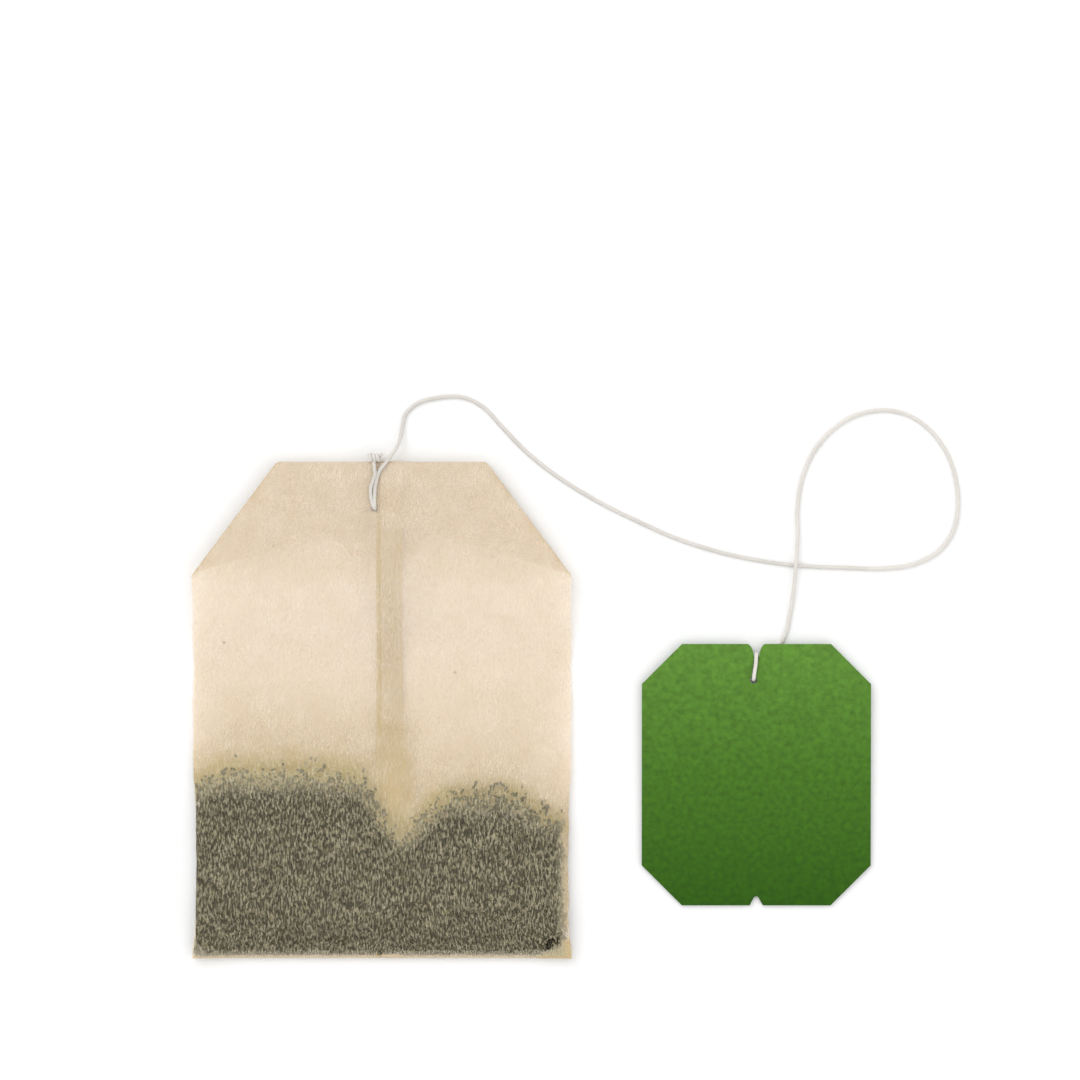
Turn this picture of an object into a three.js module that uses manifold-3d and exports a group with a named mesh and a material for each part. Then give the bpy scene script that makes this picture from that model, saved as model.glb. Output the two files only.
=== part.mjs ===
// A string-and-tag tea bag of the folded, double-chamber kind, in millimetres, lying on its back.
// One strip of filter paper is closed into a tube by a flat seam, the tube holds two charges of tea,
// and it is folded in half with a W at the base. Both ends are folded over behind the head, where one
// thread is stitched through them. The thread's other end is stitched to a card tag.
// Origin: on the bag's underside, at its middle. +Y points to the head, +Z up from the surface.
import * as THREE from "three";
import { mergeVertices } from "three/addons/utils/BufferGeometryUtils.js";
import Module from "manifold-3d";

const wasm = await Module();
wasm.setup();

// ---- The folded paper -------------------------------------------------------------------------

const PAPER = 0.045; // thickness of the filter paper
const PLY = 0.06; // from one ply to the next where they lie flat together
const HALF_WIDTH = 23.1; // of the flattened tube
const BASE_Y = -30.4;
const TOP_Y = 30.3; // the fold at the top of the head
const TUBE_END_Y = 42.2; // where the tube's two ends reach before the head is folded over
const CORNER_SLOPE = new THREE.Vector2(0.8, 0.6); // across the fold line of a corner
const CORNER_REACH = 28.25; // from the origin to that line
const HEAD_FLAT_Y = 16; // above this the plies lie flat together
const SEAM_ROOT_X = -0.3;
const SEAM_WIDTH = 3.2;
const GUSSET_TOP_Y = -25.6; // how far the W at the base reaches up between the chambers
const CREASE_SNAP = 0.06;
const FOLD_FLATNESS = 0.4; // how far a fold bulges, as a share of its half height
const THREAD = 0.4; // diameter of the cotton thread
const THREAD_GAP = 0.03;

// ---- The tea and how it swells the chambers ----------------------------------------------------

const CHARGE_DEPTH = 2.0; // how far the tea holds a chamber's two plies apart
const PUFF = 0.2; // how far they stand apart above the tea
const SIDE_LIFT = 0.7; // how far the bag's side edges stand off the surface
const FLAT_REACH = 13; // from the middle, to each side, the underside lies flat on the surface
const TEA_GAP = 0.17; // between the tea's solid and the paper
const TEA_REACH = 0.95; // how far it reaches to each side, as a share of the half width

// ---- The tag -----------------------------------------------------------------------------------

const TAG = {
  width: 28,
  height: 32,
  card: 0.22,
  corner: 4.9,
  middleX: 45.75,
  bottomY: -24,
  topRise: 0.85, // its top edge lies on the thread
  footRise: 0.25, // and its foot a little off the surface, as the card is not quite flat
  notchWidth: 2.2,
  notchDepth: 1.6,
  slitWidth: 0.56,
  slitEnd: 4.4, // from the top edge to the eye at the slit's end
  eye: 0.9,
  footNotchWidth: 1.6,
  footNotchDepth: 1.1,
};

const smooth = THREE.MathUtils.smoothstep;
const INNER_REST = PAPER / 2 + 0.0075; // an inner ply, from the middle between the chambers
const SEAM_LIFT = 2 * PLY; // the seam's two plies push the inner plies apart
const GUSSET_REST = 0.39; // the same, where the W's legs lie between the chambers
const LEG_REST = 0.09; // an inner ply of one of those legs
const STACK = PAPER + 2 * PLY + 2 * INNER_REST; // the four plies of the head, lying flat
const STACK_AT_SEAM = STACK + 2 * SEAM_LIFT;
const FLAP_GAP = 0.015;
const FIRST_FLAP_DROP = STACK + FLAP_GAP;
const SECOND_FLAP_DROP = 2 * FIRST_FLAP_DROP;
const HEAD_FOLD_DROP = SECOND_FLAP_DROP * 2 + STACK_AT_SEAM + 2 * FLAP_GAP;
const HEAD_RISE = HEAD_FOLD_DROP + THREAD + THREAD_GAP; // the thread runs beneath the head

// Where the tea ends below the head: level on the left, lower on the right, with a dip at the seam.
function teaTop(x) {
  return (
    -8 -
    2.6 * smooth(x, 0, 6) -
    3.2 * smooth(x, 15, 22) -
    1.3 * smooth(-x, 19, 23) -
    6.3 * Math.exp(-(((x - 2) / 3.4) ** 2))
  );
}

function halfWidth(y) {
  return HALF_WIDTH - 0.35 * smooth(y, BASE_Y, -25) * (1 - smooth(y, -16, -4));
}

// How far a chamber's outer ply stands from its inner ply.
function chamberDepth(x, y) {
  const across = Math.max(1 - Math.abs(x / halfWidth(y)) ** 7, 0) ** 0.6;
  const belowTeaTop = 1 - smooth(y, teaTop(x) - 5, teaTop(x) + 7);
  const aboveBase = smooth(y, -30.1, -23) ** 0.7;
  const puff = PUFF * aboveBase * (1 - smooth(y, 10, HEAD_FLAT_Y));
  return PLY + across * (puff + (CHARGE_DEPTH - PUFF) * aboveBase * belowTeaTop);
}

// How far an inner ply lies from the middle between the chambers.
function innerRest(x, y) {
  const end = SEAM_ROOT_X + SEAM_WIDTH;
  const seam = smooth(x, SEAM_ROOT_X - 1.5, SEAM_ROOT_X - 0.5) * (1 - smooth(x, end, end + 1));
  const gusset = 1 - smooth(y, GUSSET_TOP_Y + 0.5, GUSSET_TOP_Y + 3);
  return THREE.MathUtils.lerp(INNER_REST + SEAM_LIFT * seam, GUSSET_REST, gusset);
}

// The underside of the bag: flat on the surface, lifted at the sides and where the head is folded over.
function underside(x, y) {
  const past = Math.max((Math.abs(x) - FLAT_REACH) / (HALF_WIDTH - FLAT_REACH), 0);
  const side = SIDE_LIFT * past ** 3 * (1 - smooth(y, -4, 8));
  return side + HEAD_RISE * smooth(y, 4, HEAD_FLAT_Y);
}

function middle(x, y) {
  return underside(x, y) + PAPER / 2 + chamberDepth(x, y) + innerRest(x, y);
}

const CHAMBER_YS = [TUBE_END_Y, 16.2, 12, 7.5, 3, -1, -4.5, -7.5, -10.5, -14, -18.5, -23, -26, -28.2, -29.4];
const SIDE_SHARES = [0.99, 0.93, 0.78, 0.5]; // of the half width

// The places across the tube that the outer ply's columns have, from left to right.
function sectionAcross(y) {
  const sides = SIDE_SHARES.map((share) => share * halfWidth(y));
  return [
    ...sides.map((x) => -x),
    ...[-4.5, SEAM_ROOT_X - 0.9, SEAM_ROOT_X + 0.35, SEAM_ROOT_X + SEAM_WIDTH, 5],
    ...sides.toReversed(),
  ];
}

// One section across the tube, from one long edge of the strip round to the other. level is the ply's
// place outwards from the inner ply: the seam's two plies lie below 0, and "outer" is the outer ply.
function section(y) {
  const w = halfWidth(y);
  const sides = SIDE_SHARES.map((share) => share * w);
  const seamEnd = SEAM_ROOT_X + SEAM_WIDTH;
  const at = (x, level) => ({ x, level });
  return [
    at(seamEnd, -2 * PLY),
    at(SEAM_ROOT_X, -2 * PLY),
    at(SEAM_ROOT_X - 0.9, 0),
    at(-4.5, 0),
    ...sides.toReversed().map((x) => at(-x, 0)),
    at(-w, PLY / 2),
    ...sectionAcross(y).map((x) => at(x, "outer")),
    at(w, PLY / 2),
    ...sides.map((x) => at(x, 0)),
    ...[5, seamEnd, SEAM_ROOT_X + 0.35].map((x) => at(x, 0)),
    at(SEAM_ROOT_X + 0.15, -PLY / 2),
    at(seamEnd, -PLY),
  ];
}

// The strip's middle surface as rows of points, from the front chamber's end at the head, down the
// front, through the W at the base, and up the back to the other end.
function stripRows() {
  const turnRadius = (GUSSET_REST - LEG_REST) / 2;
  const turnY = BASE_Y + turnRadius + PLY;
  const turnSteps = [0, 1, 2, 3].map((i) => (i * Math.PI) / 3);
  const legYs = CHAMBER_YS.filter((y) => y < GUSSET_TOP_Y).toReversed();
  const rows = [];
  const addRow = (y, place, outerAt = () => PLY) =>
    rows.push(
      section(y).map(({ x, level }) => {
        const { shiftY, z } = place(x, level === "outer" ? outerAt(x, y) : level);
        return new THREE.Vector3(x, y + shiftY, z);
      }),
    );
  const chamber = (y, side) =>
    addRow(
      y,
      (x, out) => ({ shiftY: 0, z: middle(x, y) + side * (innerRest(x, y) + out) }),
      chamberDepth,
    );
  const leg = (y, side) =>
    addRow(y, (x, out) => ({ shiftY: 0, z: middle(x, y) + side * (LEG_REST - out) }));
  const turn = (y, centre, side, radiusOf) =>
    turnSteps.forEach((angle) =>
      addRow(y, (x, out) => ({
        shiftY: side * radiusOf(out) * Math.sin(angle),
        z: middle(x, y) + centre + radiusOf(out) * Math.cos(angle),
      })),
    );
  const turnMiddle = (GUSSET_REST + LEG_REST) / 2;
  CHAMBER_YS.forEach((y) => chamber(y, 1));
  turn(turnY, turnMiddle, -1, (out) => turnRadius + out);
  legYs.forEach((y) => leg(y, 1));
  turn(GUSSET_TOP_Y, 0, 1, (out) => LEG_REST - out);
  legYs.toReversed().forEach((y) => leg(y, -1));
  turn(turnY, -turnMiddle, -1, (out) => turnRadius + out);
  CHAMBER_YS.toReversed().forEach((y) => chamber(y, -1));
  return rows;
}

// Gives a grid of points the paper's thickness, as one closed mesh.
function thicken(rows) {
  const count = rows.length;
  const across = rows[0].length;
  const points = [];
  for (const face of [1, -1]) {
    rows.forEach((row, i) =>
      row.forEach((point, j) => {
        const along = rows[Math.min(i + 1, count - 1)][j]
          .clone()
          .sub(rows[Math.max(i - 1, 0)][j]);
        const round = row[Math.min(j + 1, across - 1)].clone().sub(row[Math.max(j - 1, 0)]);
        const out = round.cross(along).normalize();
        points.push(point.clone().addScaledVector(out, (face * PAPER) / 2));
      }),
    );
  }
  const triangles = [];
  const quad = (a, b, c, d) => triangles.push([a, b, c], [a, c, d]);
  const top = (i, j) => i * across + j;
  const low = (i, j) => count * across + top(i, j);
  for (let i = 0; i < count - 1; i++) {
    for (let j = 0; j < across - 1; j++) {
      quad(top(i, j), top(i, j + 1), top(i + 1, j + 1), top(i + 1, j));
      quad(low(i, j), low(i + 1, j), low(i + 1, j + 1), low(i, j + 1));
    }
    quad(top(i, 0), top(i + 1, 0), low(i + 1, 0), low(i, 0));
    quad(top(i, across - 1), low(i, across - 1), low(i + 1, across - 1), top(i + 1, across - 1));
  }
  for (let j = 0; j < across - 1; j++) {
    quad(top(0, j), low(0, j), low(0, j + 1), top(0, j + 1));
    quad(top(count - 1, j), top(count - 1, j + 1), low(count - 1, j + 1), low(count - 1, j));
  }
  return { points, triangles };
}

// Splits every triangle that crosses the upright plane at this reach, so that the sheet can bend there.
// A point almost on the plane counts as on it, which leaves no slivers.
function crease(sheet, across, reach) {
  const side = sheet.points.map((p) => {
    const past = across.x * p.x + across.y * p.y - reach;
    return Math.abs(past) < CREASE_SNAP ? 0 : past;
  });
  const made = new Map();
  const crossing = (a, b) => {
    const [first, second] = a < b ? [a, b] : [b, a];
    const key = first + "," + second;
    if (!made.has(key)) {
      const share = side[first] / (side[first] - side[second]);
      const point = sheet.points[first].clone().lerp(sheet.points[second], share);
      made.set(key, sheet.points.push(point) - 1);
    }
    return made.get(key);
  };
  sheet.triangles = sheet.triangles.flatMap((triangle) => {
    const signs = triangle.map((v) => Math.sign(side[v]));
    if (!signs.includes(1) || !signs.includes(-1)) return [triangle];
    const onLine = signs.indexOf(0);
    const alone = signs.findIndex((sign) => signs.filter((other) => other === sign).length === 1);
    const start = onLine < 0 ? alone : onLine;
    const [a, b, c] = [0, 1, 2].map((i) => triangle[(start + i) % 3]);
    if (onLine >= 0) {
      const bc = crossing(b, c);
      return [
        [a, b, bc],
        [a, bc, c],
      ];
    }
    const ab = crossing(a, b);
    const ca = crossing(c, a);
    return [
      [a, ab, ca],
      [ab, b, c],
      [ab, c, ca],
    ];
  });
}

// Folds what lies past a line over and under. The stack's lowest face, at stackBottom, ends up as the
// flap's highest, drop lower.
function foldUnder(sheet, across, reach, bend, stackBottom, drop) {
  const steps = 2;
  for (let i = 0; i <= steps; i++) crease(sheet, across, reach + (bend * i) / steps);
  for (const p of sheet.points) {
    const past = across.x * p.x + across.y * p.y - reach;
    if (past <= 0) continue;
    const turned = Math.min(past / bend, 1) * Math.PI;
    const folded = stackBottom - drop - (p.z - stackBottom);
    const half = (p.z - folded) / 2;
    const out = FOLD_FLATNESS * half * Math.sin(turned) - Math.max(past - bend, 0);
    p.x += across.x * (out - past);
    p.y += across.y * (out - past);
    p.z += half * (Math.cos(turned) - 1);
  }
}

function toSolid(geometry) {
  const bare = geometry.index ? geometry.toNonIndexed() : geometry.clone();
  bare.deleteAttribute("normal");
  bare.deleteAttribute("uv");
  const merged = mergeVertices(bare, 1e-4);
  return new wasm.Manifold(
    new wasm.Mesh({
      numProp: 3,
      vertProperties: merged.attributes.position.array,
      triVerts: new Uint32Array(merged.index.array),
    }),
  );
}

function toGeometry(solid) {
  const { vertProperties, triVerts } = solid.getMesh();
  return new THREE.BufferGeometry()
    .setAttribute("position", new THREE.BufferAttribute(vertProperties, 3))
    .setIndex(new THREE.BufferAttribute(triVerts, 1));
}

function fromTriangles({ points, triangles }) {
  return new THREE.BufferGeometry()
    .setAttribute(
      "position",
      new THREE.Float32BufferAttribute(points.flatMap((p) => p.toArray()), 3),
    )
    .setIndex(triangles.flat());
}

const STITCH = new THREE.Vector2(-0.9, 24.35); // where the thread goes through the head
const STITCH_HOLE = 1.36;

function filterPaperBag() {
  const sheet = thicken(stripRows());
  const left = new THREE.Vector2(-CORNER_SLOPE.x, CORNER_SLOPE.y);
  const head = new THREE.Vector2(0, 1);
  const headBulge = (FOLD_FLATNESS * (HEAD_FOLD_DROP + STACK)) / 2;
  foldUnder(sheet, CORNER_SLOPE, CORNER_REACH, 0.35, HEAD_RISE, FLAP_GAP);
  foldUnder(sheet, left, CORNER_REACH, 0.5, HEAD_RISE, FLAP_GAP + FIRST_FLAP_DROP);
  const lowest = HEAD_RISE - SECOND_FLAP_DROP - FLAP_GAP;
  foldUnder(sheet, head, TOP_Y - headBulge, 1, lowest, FLAP_GAP);
  const punch = new THREE.CylinderGeometry(STITCH_HOLE / 2, STITCH_HOLE / 2, 8, 12)
    .rotateX(Math.PI / 2)
    .translate(STITCH.x, STITCH.y, 0);
  return toGeometry(toSolid(fromTriangles(sheet)).subtract(toSolid(punch)));
}

// ---- One charge of tea: what fills a chamber below the tea's top, short of the paper ------------

// A closed mesh between two faces over the same places, on the strip's own rows and columns, with
// its diagonals lying as the paper's do, so that the gap between them holds all over.
function slab(ys, highFace, lowFace) {
  const grid = ys.map((y) =>
    sectionAcross(y)
      .filter((x) => Math.abs(x) < TEA_REACH * HALF_WIDTH)
      .map((x) => ({ x, y })),
  );
  const across = grid[0].length;
  const count = ys.length;
  const atLeast = (x, y) => Math.max(highFace(x, y), lowFace(x, y) + 0.05);
  const points = [atLeast, lowFace].flatMap((face) =>
    grid.flat().map(({ x, y }) => new THREE.Vector3(x, y, face(x, y))),
  );
  const triangles = [];
  const quad = (a, b, c, d) => triangles.push([a, b, c], [a, c, d]);
  const high = (i, j) => i * across + j;
  const low = (i, j) => count * across + high(i, j);
  for (let i = 0; i < count - 1; i++) {
    for (let j = 0; j < across - 1; j++) {
      quad(high(i, j), high(i + 1, j), high(i + 1, j + 1), high(i, j + 1));
      quad(low(i, j + 1), low(i + 1, j + 1), low(i + 1, j), low(i, j));
    }
    quad(high(i, 0), low(i, 0), low(i + 1, 0), high(i + 1, 0));
    quad(high(i, across - 1), high(i + 1, across - 1), low(i + 1, across - 1), low(i, across - 1));
  }
  for (let j = 0; j < across - 1; j++) {
    quad(high(0, j), high(0, j + 1), low(0, j + 1), low(0, j));
    quad(high(count - 1, j), low(count - 1, j), low(count - 1, j + 1), high(count - 1, j + 1));
  }
  return toSolid(fromTriangles({ points, triangles }));
}

function belowTeaTop() {
  const steps = 18;
  const outline = new THREE.Shape();
  outline.moveTo(-HALF_WIDTH, BASE_Y + 2.4);
  outline.lineTo(HALF_WIDTH, BASE_Y + 2.4);
  for (let i = 0; i <= steps; i++) {
    const x = HALF_WIDTH * (1 - (2 * i) / steps);
    outline.lineTo(x, teaTop(x));
  }
  return toSolid(new THREE.ExtrudeGeometry(outline, { depth: 8, bevelEnabled: false }));
}

const TEA_YS = CHAMBER_YS.filter((y) => y < 0);
const inset = PAPER / 2 + TEA_GAP;

function frontCharge() {
  const floor = (x, y) => middle(x, y) + innerRest(x, y);
  const fill = slab(
    TEA_YS,
    (x, y) => floor(x, y) + chamberDepth(x, y) - inset,
    (x, y) => floor(x, y) + inset,
  );
  return toGeometry(fill.intersect(belowTeaTop()));
}

function backCharge() {
  const roof = (x, y) => middle(x, y) - innerRest(x, y);
  const fill = slab(
    TEA_YS,
    (x, y) => roof(x, y) - inset,
    (x, y) => roof(x, y) - chamberDepth(x, y) + inset,
  );
  return toGeometry(fill.intersect(belowTeaTop()));
}

// ---- The thread: a stitch through the head, the free run, and a stitch through the tag ----------

const THREAD_LIES = THREAD / 2 + 0.02; // height of its centre line on the surface
const HEAD_TOP = HEAD_RISE + STACK_AT_SEAM;
const OVER_HEAD = HEAD_TOP + THREAD / 2 + THREAD_GAP;

const headStitch = [
  [-0.64, 24.5, HEAD_RISE - 1.2],
  [-0.66, 24.5, HEAD_TOP - 0.1],
  [-0.72, 24.85, OVER_HEAD + 0.02],
  [-0.77, 26.0, OVER_HEAD],
  [-0.7, 27.1, OVER_HEAD],
  [-0.5, 28.3, OVER_HEAD],
  [-0.2, 29.1, OVER_HEAD + 0.02],
  [0.4, 29.95, OVER_HEAD + 0.02],
];

const underLoop = [
  [-0.64, 24.5, HEAD_RISE - 1.1],
  [-0.64, 24.55, 0.55],
  [-0.65, 24.8, THREAD_LIES + 0.06],
  [-0.7, 26.2, THREAD_LIES],
  [-0.75, 28.5, THREAD_LIES + 0.01],
  [-0.78, 30.1, THREAD_LIES + 0.05],
  [-0.8, 30.75, 0.6],
  [-0.85, 30.95, 1.3],
  [-0.9, 30.75, 2.25],
  [-0.92, 30.2, OVER_HEAD + 0.02],
  [-0.8, 29.2, OVER_HEAD],
  [-0.95, 28.1, OVER_HEAD + 0.02],
  [-1.4, 26.8, OVER_HEAD + 0.02],
  [-1.3, 25.5, OVER_HEAD],
  [-1.16, 24.7, OVER_HEAD - 0.15],
  [-1.1, 24.3, HEAD_TOP - 0.5],
  [-1.12, 24.2, HEAD_RISE - 0.6],
];

const freeRun = [
  [0.35, 29.85, OVER_HEAD + 0.02],
  [0.9, 30.6, OVER_HEAD + 0.02],
  [1.5, 31.4, 2.05],
  [2.0, 32.4, 1.35],
  [2.3, 33.5, 0.75],
  [2.5, 34.8, 0.36],
  [2.8, 36.0, THREAD_LIES],
  [4.1, 37.3, THREAD_LIES],
  [5.7, 37.9, THREAD_LIES],
  [9.7, 38.2, THREAD_LIES],
  [12.3, 37.0, THREAD_LIES],
  [14.6, 34.6, THREAD_LIES],
  [17.5, 31.6, THREAD_LIES],
  [21.1, 28.7, THREAD_LIES],
  [26.4, 25.4, THREAD_LIES],
  [30.6, 23.3, THREAD_LIES],
  [36.5, 20.7, THREAD_LIES],
  [43.4, 18.7, THREAD_LIES],
  [50.6, 17.6, THREAD_LIES],
  [56.8, 17.3, THREAD_LIES],
  [61.5, 17.2, THREAD_LIES],
  [65.3, 17.8, THREAD_LIES],
  [68.1, 19.3, THREAD_LIES],
  [69.9, 21.8, THREAD_LIES],
  [70.5, 24.8, THREAD_LIES],
  [70.2, 28.2, THREAD_LIES],
  [69.1, 31.4, THREAD_LIES],
  [67.1, 34.1, THREAD_LIES],
  [64.4, 36.0, THREAD_LIES],
  [61.2, 36.6, THREAD_LIES],
  [57.8, 35.9, THREAD_LIES],
  [55.0, 34.1, THREAD_LIES],
  [52.8, 31.5, THREAD_LIES],
  [51.4, 28.3, THREAD_LIES],
  [50.8, 24.4, THREAD_LIES + 0.08],
  [50.8, 21.0, THREAD_LIES + 0.3],
  [50.65, 17.6, THREAD_LIES + THREAD + 0.05],
  [50.45, 14.6, THREAD_LIES + 0.3],
  [50.0, 11.6, THREAD_LIES + 0.06],
  [49.4, 9.4, THREAD_LIES],
  [48.2, 7.2, THREAD_LIES],
  [46.6, 5.0, THREAD_LIES + 0.03],
];

const tagUnder = (y) =>
  TAG.footRise + ((TAG.topRise - TAG.footRise) * (y - TAG.bottomY)) / TAG.height;
const overTag = (y) => tagUnder(y) + TAG.card + THREAD / 2 + 0.04;
const eyeX = TAG.middleX - 0.35;
const eyeY = TAG.bottomY + TAG.height - TAG.slitEnd;

const tagStitch = [
  [46.9, 5.4, THREAD_LIES + 0.02],
  [46.0, 4.2, THREAD_LIES + 0.06],
  [eyeX + 0.04, eyeY, 0.46],
  [eyeX, eyeY - 0.02, tagUnder(eyeY) + 0.18],
  [eyeX, eyeY + 0.12, overTag(eyeY) - 0.03],
  [eyeX + 0.1, eyeY + 1, overTag(eyeY + 1)],
  [eyeX + 0.25, eyeY + 2, overTag(eyeY + 2)],
  [TAG.middleX - 0.05, 6.55, overTag(6.6) - 0.02],
  [TAG.middleX, 6.75, tagUnder(6.75) + 0.1],
  [TAG.middleX + 0.05, 6.4, THREAD_LIES + 0.1],
  [TAG.middleX + 0.1, 5.2, THREAD_LIES + 0.02],
  [TAG.middleX, 4.0, THREAD_LIES],
];

function threadAlong(route, steps) {
  const sides = 8;
  const ring = Array.from({ length: sides }, (_, i) => {
    const angle = (i * 2 * Math.PI) / sides;
    return new THREE.Vector2(Math.cos(angle), Math.sin(angle)).multiplyScalar(THREAD / 2);
  });
  const path = new THREE.CatmullRomCurve3(route.map((p) => new THREE.Vector3(...p)), false, "centripetal");
  return toSolid(new THREE.ExtrudeGeometry(new THREE.Shape(ring), { steps, extrudePath: path }));
}

function string() {
  return toGeometry(
    threadAlong(freeRun, 76)
      .add(threadAlong(headStitch, 12))
      .add(threadAlong(underLoop, 26))
      .add(threadAlong(tagStitch, 20)),
  );
}

// ---- The tag: an eight-sided card with a notch at its top and foot, and a slit for the thread ----

function tag() {
  const { width, height, corner, notchWidth, notchDepth, slitWidth, slitEnd, eye } = TAG;
  const half = width / 2;
  const top = height / 2;
  const eyeSide = eye / 2;
  const outline = new THREE.Shape();
  outline.moveTo(-half + corner, -top);
  outline.lineTo(-TAG.footNotchWidth / 2, -top);
  outline.lineTo(-0.3, -top + TAG.footNotchDepth - 0.15);
  outline.quadraticCurveTo(0, -top + TAG.footNotchDepth + 0.15, 0.3, -top + TAG.footNotchDepth - 0.15);
  outline.lineTo(TAG.footNotchWidth / 2, -top);
  outline.lineTo(half - corner, -top);
  outline.lineTo(half, -top + corner);
  outline.lineTo(half, top - corner);
  outline.lineTo(half - corner, top);
  outline.lineTo(notchWidth / 2, top);
  outline.quadraticCurveTo(slitWidth / 2 + 0.25, top - 0.1, slitWidth / 2, top - notchDepth);
  outline.lineTo(slitWidth / 2 - 0.35, top - slitEnd + eyeSide * 0.8);
  outline.absarc(-0.35, top - slitEnd, eyeSide, 0.9, Math.PI - 0.9, true);
  outline.lineTo(-slitWidth / 2, top - notchDepth);
  outline.quadraticCurveTo(-slitWidth / 2 - 0.25, top - 0.1, -notchWidth / 2, top);
  outline.lineTo(-half + corner, top);
  outline.lineTo(-half, top - corner);
  outline.lineTo(-half, -top + corner);
  return toGeometry(
    toSolid(
      new THREE.ExtrudeGeometry(outline, { depth: TAG.card, bevelEnabled: false, curveSegments: 8 }),
    ),
  );
}

// ---- Assembly ----------------------------------------------------------------------------------

const finish = (color, roughness) =>
  new THREE.MeshStandardMaterial({ color, roughness, metalness: 0 });
const paper = finish(0xe9d9c1, 0.9);
const tea = finish(0x3f3a26, 0.95);
const cotton = finish(0xe6e1d8, 0.85);
const card = finish(0x4f8a2b, 0.7);

function part(name, geometry, material) {
  const mesh = new THREE.Mesh(geometry, material);
  mesh.name = name;
  return mesh;
}

const teaBag = new THREE.Group();
const bag = new THREE.Group();
bag.add(
  part("filter_paper_bag", filterPaperBag(), paper),
  part("tea_front", frontCharge(), tea),
  part("tea_back", backCharge(), tea),
);

const tagMesh = part("tag", tag(), card);
const tagTilt = Math.asin((TAG.topRise - TAG.footRise) / TAG.height);
tagMesh.position.set(
  TAG.middleX,
  TAG.bottomY + TAG.height / 2,
  (TAG.topRise + TAG.footRise) / 2,
);
tagMesh.rotation.x = tagTilt;

teaBag.add(bag, part("string", string(), cotton), tagMesh);

export default teaBag;
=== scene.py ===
import math

import bpy
import numpy as np
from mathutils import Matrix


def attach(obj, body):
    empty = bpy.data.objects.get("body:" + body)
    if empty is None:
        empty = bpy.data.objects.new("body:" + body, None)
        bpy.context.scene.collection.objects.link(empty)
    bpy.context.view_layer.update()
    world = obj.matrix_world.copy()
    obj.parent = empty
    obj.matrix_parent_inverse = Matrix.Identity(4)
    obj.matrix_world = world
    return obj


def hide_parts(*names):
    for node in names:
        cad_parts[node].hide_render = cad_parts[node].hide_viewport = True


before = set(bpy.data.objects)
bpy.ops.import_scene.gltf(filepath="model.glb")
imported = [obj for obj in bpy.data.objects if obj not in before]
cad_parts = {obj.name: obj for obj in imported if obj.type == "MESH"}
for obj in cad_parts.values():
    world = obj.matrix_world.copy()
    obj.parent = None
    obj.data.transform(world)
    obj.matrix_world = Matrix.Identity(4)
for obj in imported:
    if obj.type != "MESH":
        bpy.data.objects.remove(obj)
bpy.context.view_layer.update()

# ---- The view --------------------------------------------------------------------------------
# The bag, its string and its tag lie on a pale table under a large soft lamp and a bright room.
# The camera hangs over them on a long lens and looks straight down, with the bag's head upwards.

CAMERA_X, CAMERA_Y, CAMERA_HEIGHT = 0.0193, 0.0207, 0.3675

bpy.ops.object.select_all(action="DESELECT")
bpy.ops.object.camera_add(location=(CAMERA_X, CAMERA_Y, CAMERA_HEIGHT), rotation=(0, 0, 0))
camera = bpy.context.object
camera.data.lens = 100
camera.data.sensor_width = 36
camera.data.clip_start = 0.01
bpy.context.scene.camera = camera

bpy.ops.mesh.primitive_plane_add(size=4, location=(0, 0, -0.00003))
floor = bpy.context.object
floor.name = "floor"
table_top = bpy.data.materials.new("pale_table")
table_top.use_nodes = True
shader = table_top.node_tree.nodes["Principled BSDF"]
shader.inputs["Base Color"].default_value = (0.9, 0.9, 0.9, 1)
shader.inputs["Roughness"].default_value = 0.9
shader.inputs["Specular IOR Level"].default_value = 0.1
floor.data.materials.append(table_top)

room = bpy.data.worlds.new("bright_room")
room.use_nodes = True
room.node_tree.nodes["Background"].inputs["Color"].default_value = (1, 1, 1, 1)
room.node_tree.nodes["Background"].inputs["Strength"].default_value = 0.87
bpy.context.scene.world = room

for name, place, turn, size, watts in [
    ("soft_lamp", (-0.35, 0.45, 0.75), (-31, -25, 0), 0.9, 3.3),
    ("fill_lamp", (0.5, -0.3, 0.7), (23, 36, 0), 0.9, 1.2),
]:
    bpy.ops.object.light_add(
        type="AREA", location=place, rotation=[math.radians(angle) for angle in turn]
    )
    bpy.context.object.name = name
    bpy.context.object.data.shape = "DISK"
    bpy.context.object.data.size = size
    bpy.context.object.data.energy = watts

# Light passes many thin plies of paper before it reaches the tea and comes back.
bpy.context.scene.view_settings.view_transform = "Standard"
cycles = bpy.context.scene.cycles
cycles.max_bounces = 8
cycles.diffuse_bounces = 6
cycles.transparent_max_bounces = 64
cycles.use_adaptive_sampling = True
cycles.adaptive_threshold = 0.03
cycles.adaptive_min_samples = 16

# ---- The string ------------------------------------------------------------------------------
# One cotton thread of three twisted strands, about 180 mm long. It is caught in its own hole in
# the bag's head, lies on the table in one loop, and is stitched through the tag. Beneath the head
# and over its edge the same thread makes a second loop, with a hitch across it.

THREAD = 0.00046  # thickness
TWIST = 0.0013  # length of one turn of the strands
LYING = 0.00026  # height of the thread's middle where it lies on the table
ON_HEAD = 0.00258  # and where it lies on the bag's head

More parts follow.
